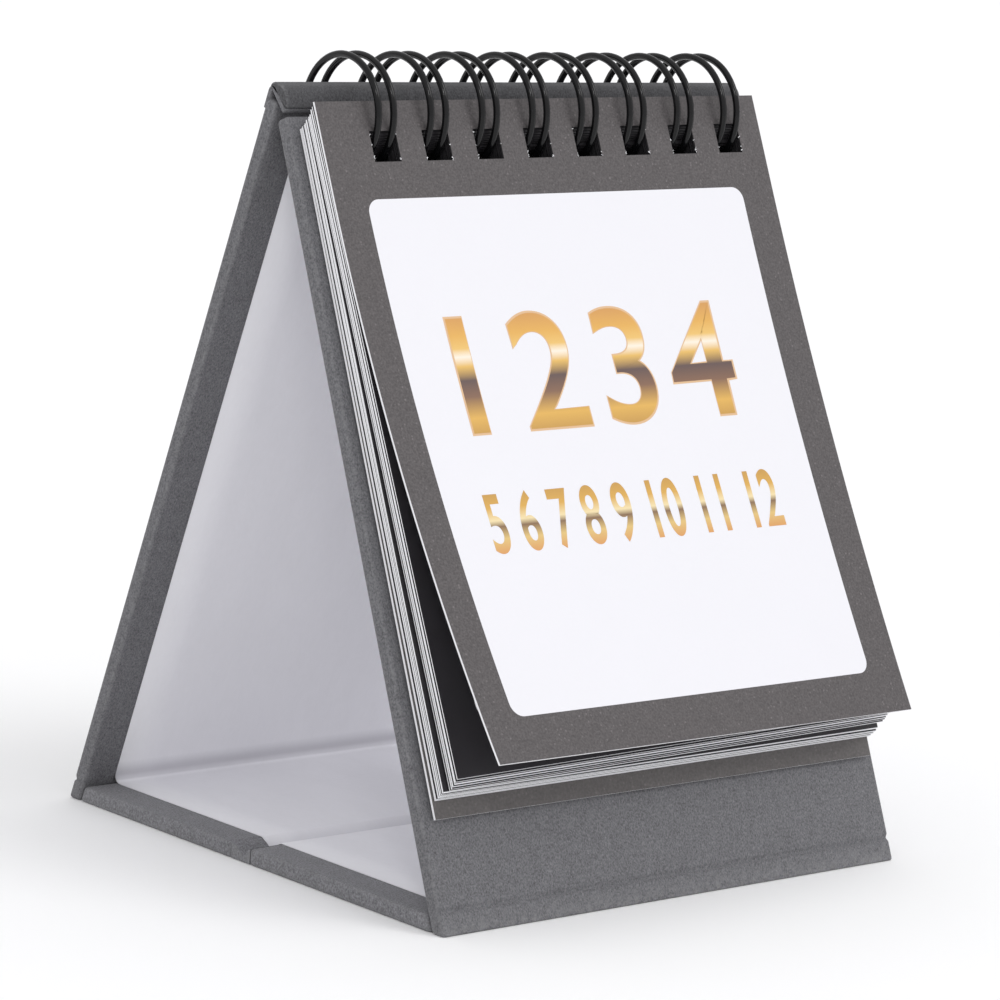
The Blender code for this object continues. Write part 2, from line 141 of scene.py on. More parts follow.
def noise(tree, place, scale, detail, roughness=0.5):
    """The value of a noise texture at a place."""
    inputs = {"Vector": place, "Scale": scale, "Detail": detail, "Roughness": roughness}
    return place_node(tree, "ShaderNodeTexNoise", inputs).outputs[0]


def map_range(tree, value, start, stop, low=0.0, high=1.0):
    """A value moved from one range to another, and kept inside it."""
    inputs = {"Value": value, "From Min": start, "From Max": stop, "To Min": low, "To Max": high}
    return place_node(tree, "ShaderNodeMapRange", inputs).outputs[0]


bpy.context.scene.view_settings.view_transform = "Standard"
room = bpy.data.worlds.new("room")
bpy.context.scene.world = room
room.use_nodes = True
room_tree = room.node_tree
way = place_node(room_tree, "ShaderNodeTexCoord")
lean = place_node(
    room_tree,
    "ShaderNodeVectorMath",
    {0: way.outputs["Generated"], 1: ROOM_BRIGHT_SIDE},
    operation="DOT_PRODUCT",
)
strength = maths(room_tree, "MULTIPLY_ADD", lean.outputs["Value"], ROOM_SLANT, ROOM_LIGHT)
surround = room_tree.nodes["Background"]
surround.inputs["Color"].default_value = ROOM_TINT
room_tree.links.new(strength, surround.inputs["Strength"])

for name, hung_at, energy, width in LAMPS:
    lamp = new_object(name, bpy.data.lights.new(name, "SUN"))
    lamp.data.energy = energy
    lamp.data.angle = width
    lamp.rotation_mode = "QUATERNION"
    lamp.rotation_quaternion = (-hung_at).to_track_quat("-Z", "Y")


def piece(name, shape, *materials):
    """A mesh object at the origin from a bmesh, which is freed."""
    mesh = bpy.data.meshes.new(name)
    shape.to_mesh(mesh)
    shape.free()
    for each in materials:
        mesh.materials.append(each)
    return new_object(name, mesh)


def shader(name, colour, roughness):
    """A material, its node tree and its Principled shader."""
    material = bpy.data.materials.new(name)
    material.use_nodes = True
    principled = material.node_tree.nodes["Principled BSDF"]
    principled.inputs["Base Color"].default_value = (*colour, 1.0)
    principled.inputs["Roughness"].default_value = roughness
    return material, material.node_tree, principled


table_shape = bmesh.new()
bmesh.ops.create_grid(table_shape, x_segments=1, y_segments=1, size=TABLE_HALF)
table_finish, _, _ = shader("table_white", TABLE_WHITE, roughness=1.0)
piece("table", table_shape, table_finish)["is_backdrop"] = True

# Four greyboards, 1.5 mm thick, make the stand stiff. They are sealed in their covering, and are
# grey all through, with the coarse flecks of recycled pulp.
BOARDS = ("front", "back", "base_front", "base_rear")
PAPER_SPECULAR = 0.3
RELIEF_DEPTH = 0.05 * MM
NOISE_ROUGHNESS = 0.6
MOTTLE_DETAIL = 3.0
MOTTLE_HEIGHT = 0.4
FIBRE_DETAIL = 4.0
SPECK_OUTSIDE = 0.3
SPECK_INSIDE = 0.08
SPECKLESS_SHARE = 0.7


def shader_group(name, inputs, outputs):
    """A shader group with number sockets, its inputs, and the place on the object."""
    group = bpy.data.node_groups.new(name, "ShaderNodeTree")
    for label, value in inputs.items():
        socket = group.interface.new_socket(label, in_out="INPUT", socket_type="NodeSocketFloat")
        socket.default_value = value
    for label in outputs:
        group.interface.new_socket(label, in_out="OUTPUT", socket_type="NodeSocketFloat")
    given = place_node(group, "NodeGroupInput").outputs
    return group, given, place_node(group, "ShaderNodeTexCoord").outputs["Object"]


def fibre_group():
    """Paper close up: a mottle, short fibres and specks, as a tint round 1 and a height."""
    plain = {"Mottle Size": 3.0, "Mottle": 0.05, "Fibre Size": 0.3, "Fibre": 0.15}
    plain |= {"Squeeze": 1.0, "Speck Size": 0.5, "Speck": 0.0}
    group, given, place = shader_group("paper_fibres", plain, ("Tint", "Height"))
    ratios = place_node(group, "ShaderNodeCombineXYZ", {"X": given["Squeeze"], "Y": 1.0, "Z": 1.0})
    drawn = place_node(
        group, "ShaderNodeVectorMath", {0: place, 1: ratios.outputs[0]}, operation="MULTIPLY"
    )

    def around_zero(size, detail):
        scale = maths(group, "DIVIDE", MM_PER_METRE, size)
        spots = noise(group, drawn.outputs[0], scale, detail, NOISE_ROUGHNESS)
        return maths(group, "SUBTRACT", spots, 0.5)

    mottle = around_zero(given["Mottle Size"], MOTTLE_DETAIL)
    fibre = around_zero(given["Fibre Size"], FIBRE_DETAIL)
    speck_scale = maths(group, "DIVIDE", MM_PER_METRE, given["Speck Size"])
    cells = place_node(group, "ShaderNodeTexVoronoi", {"Vector": place, "Scale": speck_scale})
    dot = map_range(group, cells.outputs["Distance"], SPECK_OUTSIDE, SPECK_INSIDE)
    lot = place_node(group, "ShaderNodeSeparateColor", {0: cells.outputs["Color"]}).outputs[0]
    marked = maths(group, "GREATER_THAN", lot, SPECKLESS_SHARE)
    specks = maths(group, "MULTIPLY", dot, marked)
    tint = 1.0
    for pattern, amount in ((mottle, "Mottle"), (fibre, "Fibre"), (specks, "Speck")):
        tint = maths(group, "MULTIPLY_ADD", pattern, given[amount], tint)
    height = maths(group, "MULTIPLY_ADD", mottle, MOTTLE_HEIGHT, fibre)
    place_node(group, "NodeGroupOutput", {"Tint": tint, "Height": height})
    return group


FIBRES = fibre_group()


def paper(name, colour, roughness, bump, **amounts):
    """A paper finish: a colour varied by its fibres, which also stand up a little."""
    material, tree, principled = shader(name, colour, roughness)
    fibres = tree.nodes.new("ShaderNodeGroup")
    fibres.node_tree = FIBRES
    for amount, value in amounts.items():
        fibres.inputs[amount.replace("_", " ").title()].default_value = value
    tinted = place_node(
        tree,
        "ShaderNodeVectorMath",
        {0: colour, "Scale": fibres.outputs["Tint"]},
        operation="SCALE",
        name="tinted",
    )
    tree.links.new(tinted.outputs[0], principled.inputs["Base Color"])
    principled.inputs["Specular IOR Level"].default_value = PAPER_SPECULAR
    relief = place_node(
        tree,
        "ShaderNodeBump",
        {"Strength": bump, "Distance": RELIEF_DEPTH, "Height": fibres.outputs["Height"]},
    )
    tree.links.new(relief.outputs[0], principled.inputs["Normal"])
    return material


# The colour sockets of a Mix node have no names of their own.
MIX_FIRST, MIX_SECOND, MIX_RESULT = 6, 7, 2


def mix_towards(material, factor, colour):
    """Mix a paper's colour towards another one. Gives back its Principled shader."""
    tree = material.node_tree
    inputs = {"Factor": factor, MIX_FIRST: tree.nodes["tinted"].outputs[0], MIX_SECOND: colour}
    mixed = place_node(tree, "ShaderNodeMix", inputs, data_type="RGBA")
    principled = tree.nodes["Principled BSDF"]
    tree.links.new(mixed.outputs[MIX_RESULT], principled.inputs["Base Color"])
    return principled


pulp = {"mottle": 0.2, "fibre_size": 0.6, "fibre": 0.4, "speck": 0.3}
greyboard = paper("greyboard", (0.40, 0.38, 0.35), roughness=0.95, bump=0.5, **pulp)
for label in BOARDS:
    node = frame["nodes"][f"{label}_board"]
    node.data.materials.clear()
    node.data.materials.append(greyboard)

# The covering is one sheet of dark grey paper with a felt-like grain, glued round the boards and
# turned in at their edges, where it wears pale. It is scored across, just above each foot.
STAND_WIDTH = 78.0 * MM
FRONT_SLANT = 103.6 * MM
RIDGE_SETBACK = 38.9 * MM
SPINE_RUN = 3.2 * MM
SPINE_RISE = 3.7 * MM
BASE_DEPTH = 79.0 * MM
PANEL = 2.2 * MM
SCORE_AT = 3.2 * MM
SCORE_WIDTH = 0.6 * MM
SCORE_DEPTH = 0.32 * MM
SCORE_STEPS = 4
FACE_REACH = 0.6 * MM
COVERING_GREY = Vector((0.138, 0.137, 0.145))
RUBBED_GREY = (0.22, 0.22, 0.225, 1.0)
COVERING_SHEEN = 0.12
STANDING_WEAR = 2.6 * MM
LYING_WEAR = 0.5 * MM
# Painted light: the base's covering is the same paper painted this much paler than the standing
# boards'.
LYING_PAINTED_LIGHT = 1.33
# Painted shade: the ridge roll's covering is the same paper painted this much darker.
RIDGE_PAINTED_SHADE = 0.5
WORN_EDGE = 0.5 * MM
WORN_EDGE_FALL = 9.0
WEAR_SCALE = 900.0
WEAR_DETAIL = 4.0
WEAR_ROUGHNESS = 0.7
WEAR_FROM = 0.40
WEAR_TO = 0.72
WELD = 0.0005 * MM
FLAT_UNDER = 0.002
SMOOTH_UNDER = math.radians(40)
joints = frame["record"]["behaviour"]["joints"]
joint_at = {joint["name"]: Vector(joint["pos_m"]) for joint in joints}
ridge_front = joint_at["stand_fold"]
ridge_height = math.sqrt(FRONT_SLANT**2 - RIDGE_SETBACK**2)
front_foot = ridge_front - Vector((0, RIDGE_SETBACK, ridge_height))
rear_foot = front_foot + Vector((0, BASE_DEPTH, 0))
ridge_rear = ridge_front + Vector((0, SPINE_RUN, SPINE_RISE))
front_up = (ridge_front - front_foot).normalized()
front_out = Vector((0, -front_up.z, front_up.y))
back_up = (ridge_rear - rear_foot).normalized()
back_out = Vector((0, back_up.z, -back_up.y))
half_width = STAND_WIDTH / 2


def wear_group():
    """Where the covering has rubbed pale: along the sides' rounded edges and low on the feet."""
    reach = {"Half Width": half_width, "Edge": WORN_EDGE, "Foot Height": LYING_WEAR}
    group, given, place = shader_group("rubbed_edges", reach, ("Wear",))
    at = place_node(group, "ShaderNodeSeparateXYZ", {0: place}).outputs
    inside = maths(group, "SUBTRACT", given["Half Width"], maths(group, "ABSOLUTE", at["X"]))
    across = maths(group, "DIVIDE", inside, given["Edge"])
    rising = maths(group, "SUBTRACT", 1.0, across, clamp=True)
    falling = maths(group, "MULTIPLY", across, WORN_EDGE_FALL, clamp=True)
    rounded = maths(group, "MULTIPLY", rising, falling)
    upwards = maths(group, "DIVIDE", at["Z"], given["Foot Height"])
    foot = maths(group, "SUBTRACT", 1.0, upwards, clamp=True)
    patches = noise(group, place, WEAR_SCALE, WEAR_DETAIL, WEAR_ROUGHNESS)
    rubbed = map_range(group, patches, WEAR_FROM, WEAR_TO)
    wear = maths(group, "MULTIPLY", maths(group, "MAXIMUM", rounded, foot), rubbed)
    place_node(group, "NodeGroupOutput", {"Wear": wear})
    return group


WEAR = wear_group()


def covering_finish(name, foot_height, shade=1.0):
    """The covering paper, its rubbed edges mixed towards a paler grey. Its grey is scaled by shade:
    above 1 for painted light, below 1 for painted shade.
    """
    grain = {"mottle_size": 2.4, "mottle": 0.30, "fibre_size": 0.27, "fibre": 2.4, "squeeze": 1.5}
    specks = {"speck_size": 0.45, "speck": 0.3}
    grey = tuple(COVERING_GREY * shade)
    material = paper(name, grey, roughness=0.85, bump=0.8, **grain, **specks)
    wear = material.node_tree.nodes.new("ShaderNodeGroup")
    wear.node_tree = WEAR
    wear.inputs["Foot Height"].default_value = foot_height
    principled = mix_towards(material, wear.outputs["Wear"], RUBBED_GREY)
    principled.inputs["Sheen Weight"].default_value = COVERING_SHEEN
    return material


standing_cover = covering_finish("covering_paper", STANDING_WEAR)
# Painted light: the base boards and crease pieces are covered in a paler copy of the same paper,
# for the light on their lying faces.
lying_cover_painted_light = covering_finish("covering_paper_base_painted_light", LYING_WEAR, LYING_PAINTED_LIGHT)
# Painted shade: the ridge roll is covered in a darker copy of the same paper, for the shade on the
# roll.
ridge_cover_painted_shade = covering_finish("covering_paper_ridge_painted_shade", LYING_WEAR, RIDGE_PAINTED_SHADE)


def merged_copy(node_name):
    """A bmesh of a CAD node's own shape, with its corners joined."""
    shape = bmesh.new()
    shape.from_mesh(frame["nodes"][node_name].data)
    bmesh.ops.remove_doubles(shape, verts=shape.verts, dist=WELD)
    bmesh.ops.dissolve_limit(shape, angle_limit=FLAT_UNDER, verts=shape.verts, edges=shape.edges)
    return shape


def cut_rows(shape, origin, normal, places):
    """Cut every face along the planes at these distances from origin."""
    for place in places:
        everything = shape.verts[:] + shape.edges[:] + shape.faces[:]
        bmesh.ops.bisect_plane(
            shape, geom=everything, dist=WELD, plane_co=origin + normal * place, plane_no=normal
        )


def smooth(obj):
    obj.data.shade_smooth()
    obj.data.set_sharp_from_angle(angle=SMOOTH_UNDER)
    return obj


def press_score(shape, foot, up, out):
    """Dip the outer face along a line across it, near the foot."""
    steps = range(-SCORE_STEPS, SCORE_STEPS + 1)
    cut_rows(shape, foot, up, [SCORE_AT + SCORE_WIDTH * step / SCORE_STEPS for step in steps])
    for vert in shape.verts:
        offset = vert.co - foot
        near = abs(offset.dot(up) - SCORE_AT) / SCORE_WIDTH
        if near < 1 and abs(offset.dot(out)) < FACE_REACH:
            vert.co -= out * SCORE_DEPTH * (0.5 + 0.5 * math.cos(math.pi * near))


for label in BOARDS:
    shape = merged_copy(f"{label}_wrap")
    if label == "front":
        press_score(shape, front_foot, front_up, front_out)
    if label == "back":
        press_score(shape, rear_foot, back_up, back_out)
    finish = lying_cover_painted_light if "base" in label else standing_cover
    wrap = smooth(piece(f"{label}_covering", shape, finish))
    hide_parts(f"{label}_wrap")
    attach(wrap, label)

# Over the ridge the covering stands up in a soft roll, from the back board's top edge forwards and
# down to the front board. It is glued to the back board and moves with it.
ROLL_TOP = 2.5 * MM
ROLL_FORWARD = 0.15 * MM
ROLL_LAP = 1.0 * MM
ROLL_SINK = 0.5 * MM
CROWN_SHARE = 0.35
ROLL_BACK_STEPS = 5
ROLL_STEPS = 10
ROLL_REAR_PULL = Vector((0, 0, 0.1)) * MM
ROLL_FRONT_PULL = Vector((0, 0, 0.7)) * MM
ROLL_FRONT_END = Vector((0, 0, 0.35)) * MM
ROLL_INSIDE = Vector((0, 0.55, 0.75)) * MM
ROLL_END_ROUND = 0.35 * MM
ROLL_END_STEPS = 3
ROLL_SHARP_OVER = math.radians(60)


def prism(section, left, right):
    """A closed bmesh from a section in Y and Z, run across from left to right."""
    shape = bmesh.new()
    rings = [[shape.verts.new((x, point.y, point.z)) for point in section] for x in (left, right)]
    for index in range(len(section)):
        after = (index + 1) % len(section)
        shape.faces.new((rings[0][index], rings[1][index], rings[1][after], rings[0][after]))
    shape.faces.new(rings[0])
    shape.faces.new(rings[1][::-1])
    bmesh.ops.recalc_face_normals(shape, faces=shape.faces)
    return shape


def curve_between(start, bend_to, stop, steps):
    """Points on a smooth bend from start to stop, drawn towards a third point."""
    points = []
    for step in range(steps + 1):
        share = step / steps
        points.append(start.lerp(bend_to, share).lerp(bend_to.lerp(stop, share), share))
    return points


shoulder = ridge_front + Vector((0, -ROLL_FORWARD, ROLL_TOP))
rear_start = ridge_rear - back_up * ROLL_LAP
crown = ridge_rear.lerp(shoulder, CROWN_SHARE)
over_rear = curve_between(rear_start, ridge_rear + ROLL_REAR_PULL, crown, ROLL_BACK_STEPS)
over_front = curve_between(
    crown, shoulder + ROLL_FRONT_PULL, ridge_front + ROLL_FRONT_END, ROLL_STEPS
)
roll_inside = [ridge_front + ROLL_INSIDE, rear_start - back_out * ROLL_SINK]
roll_section = over_rear + over_front[1:] + roll_inside
roll = piece("ridge_roll", prism(roll_section, -half_width, half_width), ridge_cover_painted_shade)
roll_ends = roll.modifiers.new("ends", "BEVEL")
roll_ends.width = ROLL_END_ROUND
roll_ends.segments = ROLL_END_STEPS
roll_ends.limit_method = "ANGLE"
roll_ends.angle_limit = ROLL_SHARP_OVER
smooth(roll)
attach(roll, "back")

# The base folds up at a crease, where the covering alone joins its halves. Between the linings it
# dips into a thin valley, and at the two sides the turned-in paper fills it to a shallow notch.
CREASE_AT = 40.8 * MM
CREASE_WIDTH = 4.0 * MM
CREASE_EASE = 0.12 * MM
SIDE_TURN_IN = 5.0 * MM
NOTCH = (
    (-1.95, 2.1), (-1.6, 1.95), (-1.25, 1.45), (-1.0, 1.05), (-0.3, 1.0),
    (0.2, 1.35), (1.0, 1.85), (1.95, 2.12), (1.95, 0.12), (-1.95, 0.12),
)
THIN_VALLEY = (
    (-1.95, 1.75), (-0.9, 1.15), (0.0, 0.75), (0.9, 1.15), (1.95, 1.75),
    (1.95, 1.4), (0.9, 0.8), (0.0, 0.4), (-0.9, 0.8), (-1.95, 1.4),
)
crease_middle = front_foot + Vector((0, CREASE_AT, 0))
side_from = half_width - SIDE_TURN_IN + CREASE_EASE
side_to = half_width - CREASE_EASE
for name, outline, left, right in (
    ("base_valley", THIN_VALLEY, -side_from, side_from),
    ("base_notch_left", NOTCH, -side_to, -side_from),
    ("base_notch_right", NOTCH, side_from, side_to),
):
    section = [crease_middle + Vector((0, y, z)) * MM for y, z in outline]
    crease = smooth(piece(name, prism(section, left, right), lying_cover_painted_light))
    if name == "base_valley":
        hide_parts("base_crease")
    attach(crease, "base_front")
    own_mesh(crease)

# White lining paper is pasted over the turn-ins inside the stand. One sheet runs down each standing
# board, round the fold at its foot and over half of the base, and dips into the crease.
LINING = 0.12 * MM
TOP_TURN_IN = 8.5 * MM
FOLD_RADIUS = 1.1 * MM
VALLEY_REACH = 2.6 * MM
CREASE_DIP = 1.15 * MM
LINING_COLUMNS = 12
LINING_STEP = 0.8 * MM
VALLEY_PAINTED_SHADE = (0.47, 0.46, 0.50, 1.0)
FOLD_PAINTED_SHADE = 0.75
FOLD_MIDDLE = 0.45
FOLD_SPAN = 0.55
FOLD_SOFTNESS = 0.6
CREASE_PAINTED_SHADE = 0.45
CREASE_SPREAD = 0.6
ON_THE_FACE = 0.5 * MM
CORNER_LIMIT = 0.45
DIP_SHARE = 0.55
DIP_BEFORE = 0.9 * MM
CREASE_GAP = 0.05 * MM

laid = {"mottle_size": 12.0, "mottle": 0.06, "fibre_size": 1.3, "fibre": 0.05, "squeeze": 2.5}
lining_paper = paper("lining_paper", (0.83, 0.825, 0.86), roughness=0.7, bump=0.12, **laid)
# Painted shade: the lining is mixed towards grey in the fold above each foot and at the crease,
# where shade falls.
painted_shade = place_node(lining_paper.node_tree, "ShaderNodeAttribute", attribute_name="valley")
mix_towards(lining_paper, painted_shade.outputs["Fac"], VALLEY_PAINTED_SHADE)


def rounded_path(points, radius, steps=6):
    """The path through points in Y and Z, with its inner corners rounded."""
    path = [points[0]]
    for before, corner, after in zip(points, points[1:], points[2:]):
        arrive = (corner - before).normalized()
        leave = (after - corner).normalized()
        rounding = radius * math.tan(arrive.angle(leave) / 2)
        setback = min(rounding, CORNER_LIMIT * (after - corner).length)
        path += curve_between(corner - arrive * setback, corner, corner + leave * setback, steps)
    return path + [points[-1]]


def spaced(points, step):
    """The same path with points at least every step along it."""
    path = [points[0]]
    for first, second in zip(points, points[1:]):
        parts = max(1, math.ceil((second - first).length / step))
        path += [first.lerp(second, part / parts) for part in range(1, parts + 1)]
    return path


def valley_shade(point, corner, up):
    """How much painted shade greys the lining at a point: in the fold above a foot, and at the
    crease.
    """
    above_fold = (point - corner).dot(up) / VALLEY_REACH
    near_board = abs((point - corner).dot(Vector((0, up.z, -up.y)))) < ON_THE_FACE
    folded = max(0.0, 1 - abs(above_fold - FOLD_MIDDLE) / FOLD_SPAN) if near_board else 0.0
    creased = max(0.0, 1 - abs(point.y - crease_middle.y) / (CREASE_SPREAD * CREASE_WIDTH))
    return max(FOLD_PAINTED_SHADE * folded**FOLD_SOFTNESS, CREASE_PAINTED_SHADE * creased)


def lining_sheet(name, path, corner, up, flip):
    """A thin sheet swept across the stand along a path."""
    half = half_width - SIDE_TURN_IN
    shape = bmesh.new()
    # Each vertex keeps how much painted shade greys the lining there.
    shade = shape.verts.layers.float.new("valley")
    rows = []
    for point in path:
        row = []
        for column in range(LINING_COLUMNS + 1):
            vert = shape.verts.new((-half + 2 * half * column / LINING_COLUMNS, point.y, point.z))
            vert[shade] = valley_shade(point, corner, up)
            row.append(vert)
        rows.append(row)
    for first, second in zip(rows, rows[1:]):
        for column in range(LINING_COLUMNS):
            corners = [first[column], first[column + 1], second[column + 1], second[column]]
            shape.faces.new(corners if not flip else corners[::-1])
    sheet = smooth(piece(name, shape, lining_paper))
    wall = sheet.modifiers.new("thickness", "SOLIDIFY")
    wall.thickness = LINING
    wall.offset = -1.0
    return sheet


def lining_path(foot, up, out, inward, top, crease_at):
    """Down a standing board's inner face, round its foot, along the base and into the crease."""
    along = (PANEL + LINING) * (1 + out.z) / up.z
    corner = foot + up * along - out * (PANEL + LINING)
    start = foot + up * top - out * (PANEL + LINING)
    face = Vector((0, foot.y, PANEL + LINING))
    edge = face + inward * (crease_at - CREASE_WIDTH / 2)
    dip = face + inward * (crease_at - DIP_BEFORE) - Vector((0, 0, DIP_SHARE * CREASE_DIP))
    middle = face + inward * (crease_at - CREASE_GAP) - Vector((0, 0, CREASE_DIP))
    path = rounded_path([start, corner, edge, dip, middle], FOLD_RADIUS)
    return spaced(path, LINING_STEP), corner


REARWARDS = Vector((0, 1, 0))
RIDGE_GAP = 0.5 * MM
BACK_BOARD_SHORT = 2.24 * MM
front_lining_top = FRONT_SLANT - RIDGE_GAP - TOP_TURN_IN
rear_lining_top = (ridge_rear - rear_foot).length - BACK_BOARD_SHORT - TOP_TURN_IN
for name, bodies, foot, up, out, inward, top, crease_at in (
    ("front_lining", ("front", "base_front"), front_foot, front_up, front_out, REARWARDS,
     front_lining_top, CREASE_AT),
    ("rear_lining", ("back", "base_rear"), rear_foot, back_up, back_out, -REARWARDS,
     rear_lining_top, BASE_DEPTH - CREASE_AT),
):
    path, corner = lining_path(foot, up, out, inward, top, crease_at)
    sheet = lining_sheet(name, path, corner, up, flip=inward.y < 0)
    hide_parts(f"{bodies[0]}_liner", f"{bodies[1]}_liner")
    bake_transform(sheet)

# A twin-loop wire, 0.9 mm thick and coated glossy black, is closed round the ridge. It is one wire:
# along the spine inside the stand, round a loop to a hairpin, back beside itself, and on.
WIRE = 0.9 * MM
WIRE_SIDES = 20
PAIR_GAP = 2.44 * MM
LOOP_PITCH = 8.467 * MM
LOOP_OFFSET = 1.8 * MM
LOOPS = 8
CLOSURE_GAP = 0.6 * MM
SPINE_CORNER = 0.8 * MM
LEG_POINTS = 72
TIP_POINTS = 14
CORNER_POINTS = 8
CARD_THICKNESS = 0.35 * MM
LEAF_THICKNESS = 0.17 * MM
LEAF_GAP = 0.08 * MM
COVER_THICKNESS = 0.3 * MM
COVER_GAP = 0.25 * MM
RING_SPARE = 1.7 * MM
CLEARANCE = 0.3 * MM
MONTHS = 12
WIRE_BLACK = (0.004, 0.004, 0.0045)
WIRE_SPECULAR = 0.28
WIRE_GLOSS = (0.12, 0.18)
STREAK_SCALE = 700.0
STREAK_DETAIL = 3.0
ring_centre = joint_at["cover_flip"]
card_at = front_out.dot(ridge_front - ring_centre) + CLEARANCE
leaves_at = card_at + CARD_THICKNESS + LEAF_GAP
leaf_pitch = LEAF_THICKNESS + LEAF_GAP
cover_at = leaves_at + MONTHS * leaf_pitch - LEAF_GAP + COVER_GAP
ring_radius = cover_at + COVER_THICKNESS + RING_SPARE
loop_places = [LOOP_OFFSET + LOOP_PITCH * (number - (LOOPS - 1) / 2) for number in range(LOOPS)]

wire_finish, wire_tree, wire_shader = shader("black_wire", WIRE_BLACK, roughness=0.2)
wire_place = place_node(wire_tree, "ShaderNodeTexCoord").outputs["Object"]
wire_streaks = noise(wire_tree, wire_place, STREAK_SCALE, STREAK_DETAIL)
wire_gloss = map_range(wire_tree, wire_streaks, 0.0, 1.0, *WIRE_GLOSS)
wire_tree.links.new(wire_gloss, wire_shader.inputs["Roughness"])
wire_shader.inputs["Specular IOR Level"].default_value = WIRE_SPECULAR


def arc(centre, radius, start, sweep, steps):
    """Points on an arc from the angle start, through sweep."""
    turns = [start + sweep * step / steps for step in range(steps + 1)]
    return [(centre[0] + radius * math.cos(a), centre[1] + radius * math.sin(a)) for a in turns]


def wire_route():
    """The wire's centreline, laid out across the stand and round the ring."""
    half = PAIR_GAP / 2
    spine_at = (CLOSURE_GAP + WIRE) / 2
    near = spine_at + SPINE_CORNER
    far = 2 * math.pi * ring_radius - spine_at - half
    leg = [near + (far - near) * step / (LEG_POINTS - 1) for step in range(LEG_POINTS)]
    flat = []
    for number, middle in enumerate(loop_places):
        left = middle - half
        right = middle + half
        if number > 0:
            corner = (left - SPINE_CORNER, near)
            flat += arc(corner, SPINE_CORNER, -math.pi / 2, math.pi / 2, CORNER_POINTS)[:-1]
        flat += [(left, along) for along in leg]
        flat += arc((middle, far), half, math.pi, -math.pi, TIP_POINTS)[1:-1]
        flat += [(right, along) for along in reversed(leg)]
        if number < LOOPS - 1:
            corner = (right + SPINE_CORNER, near)
            flat += arc(corner, SPINE_CORNER, math.pi, math.pi / 2, CORNER_POINTS)[1:]
    route = []
    for x, along in flat:
        angle = along / ring_radius
        ring_y = -ring_radius * math.sin(angle)
        ring_z = -ring_radius * math.cos(angle)
        route.append(ring_centre + Vector((x, ring_y, ring_z)))
    return route


def new_tree(name, inputs):
    """A Geometry Nodes tree with its sockets, and its input and output nodes."""
    tree = bpy.data.node_groups.new(name, "GeometryNodeTree")
    tree.interface.new_socket("Geometry", in_out="INPUT", socket_type="NodeSocketGeometry")
    tree.interface.new_socket("Geometry", in_out="OUTPUT", socket_type="NodeSocketGeometry")
    for label, kind in inputs.items():
        tree.interface.new_socket(label, in_out="INPUT", socket_type=f"NodeSocket{kind}")
    given = place_node(tree, "NodeGroupInput").outputs
    return tree, given, place_node(tree, "NodeGroupOutput").inputs


def coat(tree, geometry, material, selection=True):
    """The geometry with a material on its selected faces."""
    inputs = {"Geometry": geometry, "Material": material, "Selection": selection}
    return place_node(tree, "GeometryNodeSetMaterial", inputs).outputs[0]


def made_by(tree, source, values):
    """The mesh that a tree makes from an object, which is then taken away."""
    modifier = source.modifiers.new(tree.name, "NODES")
    modifier.node_group = tree
    for item in tree.interface.items_tree:
        if item.in_out == "INPUT" and item.name in values:
            modifier[item.identifier] = values[item.name]
    graph = bpy.context.evaluated_depsgraph_get()
    mesh = bpy.data.meshes.new_from_object(source.evaluated_get(graph))
    bpy.data.objects.remove(source)
    return mesh


wire_maker, given, result = new_tree(
    "drawn_wire", {"Thickness": "Float", "Sides": "Int", "Coating": "Material"}
)
wire_radius = maths(wire_maker, "MULTIPLY", given["Thickness"], 0.5)
wire_section = place_node(
    wire_maker,
    "GeometryNodeCurvePrimitiveCircle",
    {"Resolution": given["Sides"], "Radius": wire_radius},
)
drawn_tube = place_node(
    wire_maker,
    "GeometryNodeCurveToMesh",
    {"Curve": given["Geometry"], "Profile Curve": wire_section.outputs["Curve"], "Fill Caps": True},
)
real_tube = place_node(wire_maker, "GeometryNodeRealizeInstances", {0: drawn_tube.outputs[0]})
coated = coat(wire_maker, real_tube.outputs[0], given["Coating"])
wire_maker.links.new(coated, result["Geometry"])

wire_curve = bpy.data.curves.new("wire_path", "CURVE")
wire_curve.dimensions = "3D"
route = wire_route()
spline = wire_curve.splines.new("POLY")
spline.points.add(len(route) - 1)
for point, place in zip(spline.points, route):
    point.co = (*place, 1)
wire_path = new_object("wire_path", wire_curve)
wire_values = {"Thickness": WIRE, "Sides": WIRE_SIDES, "Coating": wire_finish}
wire_mesh = made_by(wire_maker, wire_path, wire_values)
wire = smooth(new_object("twin_loop_wire", wire_mesh))
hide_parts("wire_binding")
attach(wire, "front")

# A dark back card and twelve month leaves hang behind the cover. Each is white all through, printed
# nearly black on its face, and punched and cut in one stack, so that its edges show white.
LEAF_MARGIN = 1.4 * MM
BARE_FOOT = 18.8 * MM
CARD_EXTRA = 2.2 * MM
HOLE_SIDE_PLAY = 0.45 * MM
HOLE_WIDTH = PAIR_GAP + WIRE + 2 * HOLE_SIDE_PLAY
HOLE_HEIGHT = 4.0 * MM
HOLE_FROM_EDGE = 3.9 * MM
LEAF_PLAY = 0.22 * MM
CARD_LEAN = math.radians(0.25)
LEAF_FAN = math.radians(0.07)
PANEL_SIDE = 5.2 * MM
PANEL_TOP = 13.4 * MM
PANEL_FOOT = 7.0 * MM
PANEL_ROUND = 1.8 * MM
PANEL_SUNK = 0.05 * MM
PRINT_PROUD = 0.012 * MM
PRINT_SUNK = 0.02 * MM
MONTH_SIZE = 11.0 * MM
MONTH_DROP = 13.0 * MM
MONTH_WEIGHT = 0.12 * MM
DAY_SIZE = 4.2 * MM
DAY_STEP = 8.2 * MM
DAYS_DROP = 22.0 * MM
WEEK_STEP = 7.4 * MM
WEEK = 7
DAYS = 30
MONTH_SHIFT = 3
REAR_SKEW = 0.2
